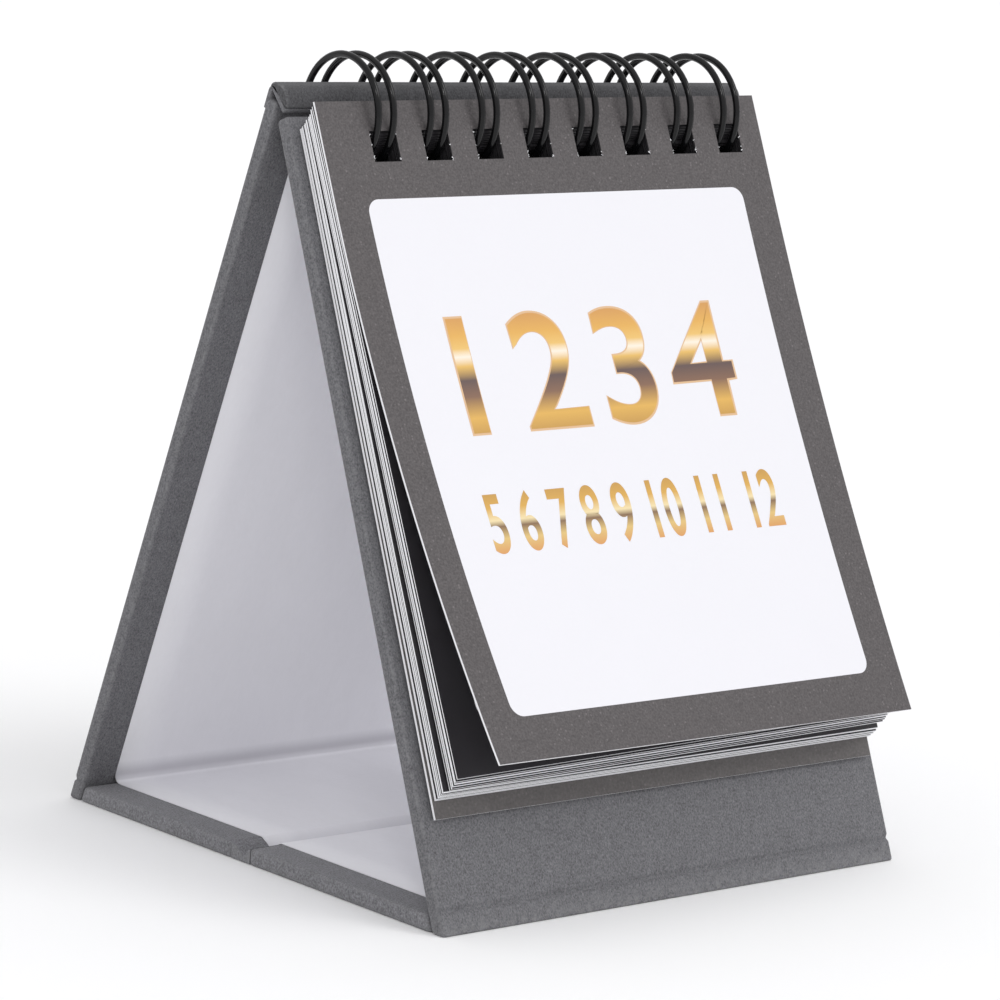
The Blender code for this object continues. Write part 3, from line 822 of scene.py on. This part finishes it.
FRONT_SKEW = 0.8
SKEW_SPREAD = 0.06
LEAF_SHIFT = 0.1 * MM
LOOSE_LEAVES = (1, 4, 6, 9, 11)
LEAF_SWELL = 0.03 * MM
LOOSE_GAP = 0.07 * MM
# Heights of the white bar painted along each leaf's foot as painted light.
FOOT_EDGE_PAINTED_LIGHT = (0.03 * MM, 0.16 * MM)
PAINTED_EDGE_SHORT = 0.02 * MM
leaf_width = STAND_WIDTH - 2 * LEAF_MARGIN
leaf_length = FRONT_SLANT - BARE_FOOT

even = {"mottle_size": 9.0, "mottle": 0.02, "fibre_size": 0.4, "fibre": 0.03}
white_paper = paper("leaf_paper", (0.86, 0.86, 0.88), roughness=0.6, bump=0.1, **even)
inked = {"mottle_size": 4.0, "mottle": 0.1, "fibre_size": 0.2, "fibre": 0.3}
dark_print = paper("dark_print", (0.020, 0.018, 0.021), roughness=0.42, bump=0.12, **inked)
rough = {"mottle_size": 2.5, "mottle": 0.25, "fibre_size": 0.35, "fibre": 0.9}
flecked = {"speck_size": 0.7, "speck": 0.35}
dark_card = paper("dark_card", (0.116, 0.108, 0.106), roughness=0.7, bump=0.35, **rough, **flecked)
streaked = {"mottle_size": 1.0, "mottle": 0.8, "fibre": 0.5}
# Painted shade: the walls of the punched holes are near black, for the deep shade inside the holes,
# though the paper is white all through.
painted_shade_walls = paper("hole_walls_painted_shade", (0.03, 0.029, 0.031), roughness=0.9, bump=0.1, **streaked)
day_ink = paper("day_ink", (0.05, 0.05, 0.055), roughness=0.5, bump=0.05, fibre_size=0.3, fibre=0.2)

sheet_lengths = ("Width", "Length", "Thickness", "Pitch", "Hole Width", "Hole Height")
sheet_sockets = dict.fromkeys(sheet_lengths, "Float") | {"Holes": "Int", "First Hole": "Vector"}
sheet_sockets |= dict.fromkeys(("Hole Walls Painted Shade", "Paper", "Print"), "Material")
punched, given, result = new_tree("punched_sheet", sheet_sockets)
SIDE_SHARE = 0.499
FOOT_SHARE = 0.99
TOP_BAND = 1.0 * MM
TOUCHING = 0.001 * MM


def punched_part(kind, inputs, **settings):
    return place_node(punched, kind, inputs, **settings).outputs[0]


half_down = maths(punched, "MULTIPLY", given["Length"], -0.5)
hang_down = punched_part("ShaderNodeCombineXYZ", {"Y": half_down})
sheet_edge = punched_part(
    "GeometryNodeCurvePrimitiveQuadrilateral", {"Width": given["Width"], "Height": given["Length"]}
)
sheet_hung = punched_part("GeometryNodeSetPosition", {"Geometry": sheet_edge, "Offset": hang_down})
hole_edge = punched_part(
    "GeometryNodeCurvePrimitiveQuadrilateral",
    {"Width": given["Hole Width"], "Height": given["Hole Height"]},
)
hole_step = punched_part("ShaderNodeCombineXYZ", {"X": given["Pitch"]})
hole_row = punched_part(
    "GeometryNodeMeshLine",
    {"Count": given["Holes"], "Start Location": given["First Hole"], "Offset": hole_step},
    mode="OFFSET",
)
hole_set = punched_part("GeometryNodeInstanceOnPoints", {"Points": hole_row, "Instance": hole_edge})
outlines = place_node(punched, "GeometryNodeJoinGeometry", {0: sheet_hung})
punched.links.new(punched_part("GeometryNodeRealizeInstances", {0: hole_set}), outlines.inputs[0])
under_face = punched_part("GeometryNodeFillCurve", {0: outlines.outputs[0]})
walls = place_node(
    punched,
    "GeometryNodeExtrudeMesh",
    {"Mesh": under_face, "Offset Scale": given["Thickness"], "Individual": False},
)
both = place_node(punched, "GeometryNodeJoinGeometry", {0: walls.outputs[0]})
punched.links.new(punched_part("GeometryNodeFlipFaces", {0: under_face}), both.inputs[0])
closed = punched_part(
    "GeometryNodeMergeByDistance", {"Geometry": both.outputs[0], "Distance": TOUCHING}
)
realized = punched_part("GeometryNodeRealizeInstances", {0: closed})
face_at = place_node(
    punched, "ShaderNodeSeparateXYZ", {0: punched_part("GeometryNodeInputPosition", {})}
).outputs
# The walls of the holes get the near-black painted shade; the outer edges stay white.
edge_reach = maths(punched, "MULTIPLY", given["Width"], SIDE_SHARE)
hole_wall_painted_shade_mask = maths(punched, "LESS_THAN", maths(punched, "ABSOLUTE", face_at["X"]), edge_reach)
low_edge = maths(punched, "MULTIPLY", given["Length"], -FOOT_SHARE)
over_foot = maths(punched, "GREATER_THAN", face_at["Y"], low_edge)
under_top = maths(punched, "LESS_THAN", face_at["Y"], -TOP_BAND)
for condition in (over_foot, under_top, walls.outputs["Side"]):
    hole_wall_painted_shade_mask = maths(punched, "MULTIPLY", hole_wall_painted_shade_mask, condition)
in_paper = coat(punched, realized, given["Paper"])
with_painted_shade_walls = coat(punched, in_paper, given["Hole Walls Painted Shade"], hole_wall_painted_shade_mask)
printed = coat(punched, with_painted_shade_walls, given["Print"], walls.outputs["Top"])
punched.links.new(printed, result["Geometry"])


def punched_sheet(name, length, low, high, top, print_finish):
    """A flat punched sheet as a bmesh between two heights, with its materials in order."""
    source = new_object(name, bpy.data.meshes.new(name))
    values = {
        "Width": leaf_width,
        "Length": length,
        "Thickness": high - low,
        "Holes": LOOPS,
        "Pitch": LOOP_PITCH,
        "First Hole": (loop_places[0], -HOLE_FROM_EDGE - HOLE_HEIGHT / 2, 0.0),
        "Hole Width": HOLE_WIDTH,
        "Hole Height": HOLE_HEIGHT,
        "Hole Walls Painted Shade": painted_shade_walls,
        "Paper": white_paper,
        "Print": print_finish,
    }
    mesh = made_by(punched, source, values)
    shape = bmesh.new()
    shape.from_mesh(mesh)
    materials = list(mesh.materials)
    bpy.data.meshes.remove(mesh)
    bmesh.ops.translate(shape, vec=(0, top, low), verts=shape.verts)
    return shape, materials


def rounded_rectangle(left, right, bottom, top, radius, steps=8):
    quarter = math.pi / 2
    points = []
    for x, y, turns in (
        (left + radius, bottom + radius, 2),
        (right - radius, bottom + radius, 3),
        (right - radius, top - radius, 0),
        (left + radius, top - radius, 1),
    ):
        points += arc((x, y), radius, turns * quarter, quarter, steps)
    return points


def solid_from_curve(curve, low, high):
    """A closed bmesh from a filled flat curve or text, between two heights."""
    curve.extrude = (high - low) / 2
    flat = new_object(curve.name, curve)
    graph = bpy.context.evaluated_depsgraph_get()
    mesh = bpy.data.meshes.new_from_object(flat.evaluated_get(graph))
    bpy.data.objects.remove(flat)
    shape = bmesh.new()
    shape.from_mesh(mesh)
    bpy.data.meshes.remove(mesh)
    bmesh.ops.remove_doubles(shape, verts=shape.verts, dist=4 * WELD)
    bmesh.ops.translate(shape, vec=(0, 0, (low + high) / 2), verts=shape.verts)
    return shape


def sheet_solid(name, points, low, high):
    """A flat sheet bounded by points, between two heights."""
    curve = bpy.data.curves.new(name, "CURVE")
    curve.dimensions = "2D"
    curve.fill_mode = "BOTH"
    outline = curve.splines.new("POLY")
    outline.points.add(len(points) - 1)
    for point, (x, y) in zip(outline.points, points):
        point.co = (x, y, 0, 1)
    outline.use_cyclic_u = True
    return solid_from_curve(curve, low, high)


def leaf_top(out):
    """Where the top edge of a leaf lies that hangs this far out from the ring's centre."""
    drop = math.sqrt(ring_radius**2 - out**2)
    return -drop + WIRE / 2 * ring_radius / drop + LEAF_PLAY + HOLE_FROM_EDGE


def hung(lean, skew=0.0, shift=0.0):
    """The place of a sheet's own axes, hung from the ring, leaning out and turned on the wire."""
    basis = Matrix((Vector((1, 0, 0)), front_up, front_out)).transposed().to_4x4()
    to_loop = Matrix.Translation((-loop_places[0], ring_radius, 0))
    from_loop = Matrix.Translation((loop_places[0] + shift, -ring_radius, 0))
    turned_on_wire = from_loop @ Matrix.Rotation(skew, 4, "Z") @ to_loop
    return Matrix.Translation(ring_centre) @ basis @ Matrix.Rotation(-lean, 4, "X") @ turned_on_wire


def text_curve(name, body, size, spacing=1.0):
    curve = bpy.data.curves.new(name, "FONT")
    curve.body = body
    curve.size = size
    curve.align_x = "CENTER"
    curve.fill_mode = "BOTH"
    curve.space_character = spacing
    return curve


UPRIGHT_UNDER = 0.5


def make_bolder(shape, weight):
    """Move the side faces of flat solid text outwards, which makes its strokes heavier."""
    shape.normal_update()
    moves = []
    for vert in shape.verts:
        normals = [face.normal for face in vert.link_faces]
        sides = [normal for normal in normals if abs(normal.z) < UPRIGHT_UNDER]
        pull = sum(sides, Vector()) * 2 / max(1, len(sides))
        moves.append(pull * 2 * weight / max(1.0, pull.length_squared))
    for vert, move in zip(shape.verts, moves):
        vert.co += move


def numbers_solid(name, cells, low, high):
    """Text set at each cell's place, joined in one bmesh. A cell is (text, x, y, size, weight)."""
    shape = bmesh.new()
    for body, x, y, size, weight in cells:
        word = solid_from_curve(text_curve(name, body, size), low, high)
        make_bolder(word, weight)
        bmesh.ops.translate(word, vec=(x, y, 0), verts=word.verts)
        mesh = bpy.data.meshes.new(name)
        word.to_mesh(mesh)
        word.free()
        shape.from_mesh(mesh)
        bpy.data.meshes.remove(mesh)
    return shape


card_face = card_at + CARD_THICKNESS
card_top = leaf_top(card_face)
card_shape, card_materials = punched_sheet(
    "back_card_sheet", leaf_length + CARD_EXTRA, card_at, card_face, card_top, dark_card
)
card_shape.transform(hung(CARD_LEAN))
back_card = piece("back_card_sheet", card_shape, *card_materials)
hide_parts("back_card")
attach(back_card, "leaves_rear")


def add_burr(shape, bottom, height, face, material):
    """Painted light along a leaf's foot: a thin white bar on its printed face, which makes the cut
    edge there look lit.
    """
    middle = Matrix.Translation((0, bottom + height / 2, face))
    size = Matrix.Diagonal((leaf_width - PAINTED_EDGE_SHORT, height, 2 * PRINT_PROUD, 1))
    made = bmesh.ops.create_cube(shape, size=1.0, matrix=middle @ size)
    for vert in made["verts"]:
        for side in vert.link_faces:
            side.material_index = material


lie = random.Random(12)
panel_half = leaf_width / 2 - PANEL_SIDE
for month in range(MONTHS, 0, -1):
    layer = MONTHS - month
    body = "leaves_rear" if layer < MONTHS // 2 else "leaves_front"
    low = leaves_at + layer * leaf_pitch
    high = low + LEAF_THICKNESS
    top = leaf_top(high)
    body_skew = REAR_SKEW if body == "leaves_rear" else FRONT_SKEW
    skew = body_skew + lie.uniform(-SKEW_SPREAD, SKEW_SPREAD)
    shift = lie.uniform(-LEAF_SHIFT, LEAF_SHIFT)
    place = hung(CARD_LEAN + (layer + 1) * LEAF_FAN, math.radians(skew), shift)
    spread = -LEAF_SWELL if layer in LOOSE_LEAVES else LOOSE_GAP
    leaf_shape, leaf_materials = punched_sheet(
        f"month_sheet_{month:02d}", leaf_length, low - spread, high, top, dark_print
    )
    white = leaf_materials.index(white_paper)
    # Painted light: a white bar at each leaf's foot brightens its cut edge.
    add_burr(leaf_shape, top - leaf_length, lie.uniform(*FOOT_EDGE_PAINTED_LIGHT), high, white)
    leaf_shape.transform(place)
    leaf = piece(f"month_sheet_{month:02d}", leaf_shape, *leaf_materials)
    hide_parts(f"month_leaf_{month:02d}")
    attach(leaf, body)
    panel_loop = rounded_rectangle(
        -panel_half, panel_half, top - leaf_length + PANEL_FOOT, top - PANEL_TOP, PANEL_ROUND
    )
    panel_shape = sheet_solid(
        f"month_panel_{month:02d}", panel_loop, high - PANEL_SUNK, high + PRINT_PROUD
    )
    panel_shape.transform(place)
    panel = piece(f"month_panel_{month:02d}", panel_shape, white_paper)
    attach(panel, body)
    cells = [(str(month), 0.0, top - PANEL_TOP - MONTH_DROP, MONTH_SIZE, MONTH_WEIGHT)]
    for day in range(1, DAYS + 1):
        week, column = divmod(day - 1 + month * MONTH_SHIFT % WEEK, WEEK)
        x = (column - WEEK // 2) * DAY_STEP
        cells.append((str(day), x, top - PANEL_TOP - DAYS_DROP - WEEK_STEP * week, DAY_SIZE, 0.0))
    day_shape = numbers_solid(
        f"month_days_{month:02d}", cells, high - PRINT_SUNK, high + 2 * PRINT_PROUD
    )
    day_shape.transform(place)
    days = piece(f"month_days_{month:02d}", day_shape, day_ink)
    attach(days, body)

# The cover is a stiff card printed charcoal with fine flecks, bowed out towards its foot and a
# little more to the left. A white label with rounded corners fills it below the holes.
COVER_EXTRA = 1.0 * MM
COVER_FLAT = 12.0 * MM
COVER_LEAN = math.radians(0.6)
COVER_BEND = math.radians(10.2)
COVER_SKEW = math.radians(0.6)
COVER_TWIST = 0.35
ROW_STEP = 2.0 * MM
COLUMN_STEP = 6.0 * MM
COLUMN_REACH = 6
LABEL_SUNK = 0.1 * MM
LABEL_SIDE = 5.4 * MM
LABEL_TOP = 12.7 * MM
LABEL_FOOT = 5.7 * MM
LABEL_ASIDE = -0.4 * MM
COVER_DROP = 0.2 * MM
cover_top = leaf_top(cover_at + COVER_THICKNESS) - COVER_DROP
cover_length = leaf_length + COVER_EXTRA
bend_start = cover_top - COVER_FLAT
columns = [COLUMN_STEP * number for number in range(-COLUMN_REACH, COLUMN_REACH + 1)]

charcoal = {"mottle_size": 2.2, "mottle": 0.16, "fibre_size": 0.28, "fibre": 1.5}
fine_flecks = {"speck_size": 0.62, "speck": 0.7}
cover_print = paper(
    "cover_print", (0.094, 0.086, 0.087), roughness=0.62, bump=0.4, **charcoal, **fine_flecks
)
smooth_white = {"mottle_size": 9.0, "mottle": 0.015, "fibre_size": 0.4, "fibre": 0.02}
label_white = paper("label_white", (0.765, 0.761, 0.795), roughness=0.5, bump=0.06, **smooth_white)


def bow(shape):
    """Roll a flat solid on the cover's axes with the card's bow, heights kept along its normal."""
    lowest = min(vert.co.y for vert in shape.verts)
    highest = max(vert.co.y for vert in shape.verts)
    rows = [highest - ROW_STEP * step for step in range(1, int((highest - lowest) / ROW_STEP) + 1)]
    cut_rows(shape, Vector(), Vector((0, 1, 0)), rows)
    for vert in shape.verts:
        height = vert.co.z - cover_at
        below = bend_start - vert.co.y
        if below > 0:
            bend = COVER_BEND * (1 - COVER_TWIST * vert.co.x / (leaf_width / 2))
            radius = (cover_length - COVER_FLAT) / bend
            turned = below / radius
            vert.co.y = bend_start - (radius - height) * math.sin(turned)
            vert.co.z = cover_at + radius - (radius - height) * math.cos(turned)
    shape.transform(hung(COVER_LEAN, COVER_SKEW))


cover_face = cover_at + COVER_THICKNESS
cover_shape, cover_materials = punched_sheet(
    "cover_card", cover_length, cover_at, cover_face, cover_top, cover_print
)
cut_rows(cover_shape, Vector(), Vector((1, 0, 0)), columns)
bow(cover_shape)
cover = smooth(piece("cover_card", cover_shape, *cover_materials))
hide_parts("cover_sheet")
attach(cover, "cover")

label_half = leaf_width / 2 - LABEL_SIDE
label_top = cover_top - LABEL_TOP
label_loop = rounded_rectangle(
    LABEL_ASIDE - label_half,
    LABEL_ASIDE + label_half,
    cover_top - cover_length + LABEL_FOOT,
    label_top,
    PANEL_ROUND,
)
label_face = cover_face + PRINT_PROUD
label_shape = sheet_solid("cover_label", label_loop, cover_face - LABEL_SUNK, label_face)
cut_rows(label_shape, Vector(), Vector((1, 0, 0)), columns)
bow(label_shape)
label = smooth(piece("cover_label", label_shape, label_white))
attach(label, "cover")

# Punching has torn small white fibres out of the cover. They stand at the corners and along the
# sides of its holes, most of them at the holes' feet.
TEARS_PER_HOLE = 8
TEAR_HEIGHTS = (0.0, 0.0, 0.04, 0.12, 0.45, 0.85)
TEAR_SPREAD = 0.1
TEAR_LENGTH = (0.15 * MM, 0.45 * MM)
TEAR_RADIUS = (0.035 * MM, 0.085 * MM)
TEAR_TIP = 0.004 * MM
TEAR_SIDES = 5
TEAR_WAYS = ((0, 1), (-1, 0.5), (0.05, 0.4))
torn = random.Random(8)
tears = bmesh.new()
hole_foot = cover_top - HOLE_FROM_EDGE - HOLE_HEIGHT
for middle in loop_places:
    for _ in range(TEARS_PER_HOLE):
        side = torn.choice((-1, 1))
        height = torn.choice(TEAR_HEIGHTS) + torn.uniform(0, TEAR_SPREAD)
        root_x = middle + side * HOLE_WIDTH / 2
        root = Vector((root_x, hole_foot + height * HOLE_HEIGHT, cover_face))
        point = Vector([torn.uniform(*way) for way in TEAR_WAYS])
        point.x *= side
        lying = point.to_track_quat("Z", "Y").to_matrix().to_4x4()
        bmesh.ops.create_cone(
            tears,
            cap_ends=True,
            segments=TEAR_SIDES,
            radius1=torn.uniform(*TEAR_RADIUS),
            radius2=TEAR_TIP,
            depth=torn.uniform(*TEAR_LENGTH),
            matrix=Matrix.Translation(root) @ lying,
        )
bow(tears)
torn_fibres = piece("torn_fibres", tears, white_paper)
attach(torn_fibres, "cover")

# Plain gold numbers stand where the label's heading was printed: the large row has a paler rim, and
# the gold of both rows changes from bright to brown and back down their height.
LARGE_ROW = (-24.5 * MM, 22.5 * MM, label_top - 31.0 * MM, label_top - 15.6 * MM)
SMALL_ROW = (-26.5 * MM, 24.5 * MM, label_top - 46.6 * MM, label_top - 38.6 * MM)
RIM = 0.3 * MM
RIM_WEIGHT = 0.28 * MM
LARGE_WEIGHT = 0.14 * MM
SMALL_WEIGHT = 0.12 * MM
LARGE_SPACING = 1.16
GOLD_ROUGHNESS = 0.45
GOLD_STEPS = 12
GOLD = (0.8, 0.55, 0.15)
LARGE_STOPS = (
    (0.0, (0.58, 0.28, 0.07)), (0.16, (0.68, 0.37, 0.07)), (0.27, (0.74, 0.47, 0.13)),
    (0.34, (0.84, 0.76, 0.64)), (0.42, (0.70, 0.43, 0.10)), (0.54, (0.095, 0.055, 0.05)),
    (0.68, (0.20, 0.10, 0.055)), (0.86, (0.66, 0.38, 0.07)), (1.0, (0.50, 0.27, 0.05)),
)
SMALL_STOPS = (
    (0.0, (0.50, 0.27, 0.05)), (0.25, (0.62, 0.35, 0.06)), (0.45, (0.78, 0.64, 0.36)),
    (0.55, (0.20, 0.11, 0.05)), (0.75, (0.66, 0.46, 0.16)), (1.0, (0.62, 0.28, 0.08)),
)


def gold(name, stops):
    """A printed gold that changes down each row of numbers."""
    material, tree, principled = shader(name, GOLD, GOLD_ROUGHNESS)
    shade = place_node(tree, "ShaderNodeAttribute", attribute_name="down_row")
    ramp = place_node(tree, "ShaderNodeValToRGB", {"Fac": shade.outputs["Fac"]})
    elements = ramp.color_ramp.elements
    while len(elements) < len(stops):
        elements.new(0.5)
    for element, (place, colour) in zip(elements, stops):
        element.position = place
        element.color = (*colour, 1.0)
    tree.links.new(ramp.outputs["Color"], principled.inputs["Base Color"])
    return material


large_gold = gold("large_gold", LARGE_STOPS)
small_gold = gold("small_gold", SMALL_STOPS)
rim_gold, _, _ = shader("rim_gold", (0.66, 0.43, 0.24), GOLD_ROUGHNESS)


def number_row(name, body, box, weight, finish, high, spacing=1.0):
    """One row of numbers on the label, fitted to a box of left, right, bottom and top."""
    left, right, bottom, top = box
    word = text_curve(name, body, top - bottom, spacing)
    shape = solid_from_curve(word, cover_face - PRINT_SUNK, high)
    make_bolder(shape, weight)
    xs = [vert.co.x for vert in shape.verts]
    ys = [vert.co.y for vert in shape.verts]
    lowest_x = min(xs)
    lowest_y = min(ys)
    across = (right - left) / (max(xs) - lowest_x)
    upwards = (top - bottom) / (max(ys) - lowest_y)
    for vert in shape.verts:
        vert.co.x = left + (vert.co.x - lowest_x) * across
        vert.co.y = bottom + (vert.co.y - lowest_y) * upwards
    rows = [bottom + (top - bottom) * step / GOLD_STEPS for step in range(1, GOLD_STEPS)]
    cut_rows(shape, Vector(), Vector((0, 1, 0)), rows)
    down = shape.verts.layers.float.new("down_row")
    for vert in shape.verts:
        vert[down] = (top - vert.co.y) / (top - bottom)
    bow(shape)
    numbers = piece(name, shape, finish)
    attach(numbers, "cover")


rim_high = cover_face + 2 * PRINT_PROUD
fill_high = cover_face + 3 * PRINT_PROUD
large_rim = (LARGE_ROW[0] - RIM, LARGE_ROW[1] + RIM, LARGE_ROW[2] - RIM, LARGE_ROW[3] + RIM)
number_row("large_numbers_rim", "1234", large_rim, RIM_WEIGHT, rim_gold, rim_high, LARGE_SPACING)
number_row("large_numbers", "1234", LARGE_ROW, LARGE_WEIGHT, large_gold, fill_high, LARGE_SPACING)
number_row("small_numbers", "5 6 7 8 9 10 11 12", SMALL_ROW, SMALL_WEIGHT, small_gold, fill_high)

low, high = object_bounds()
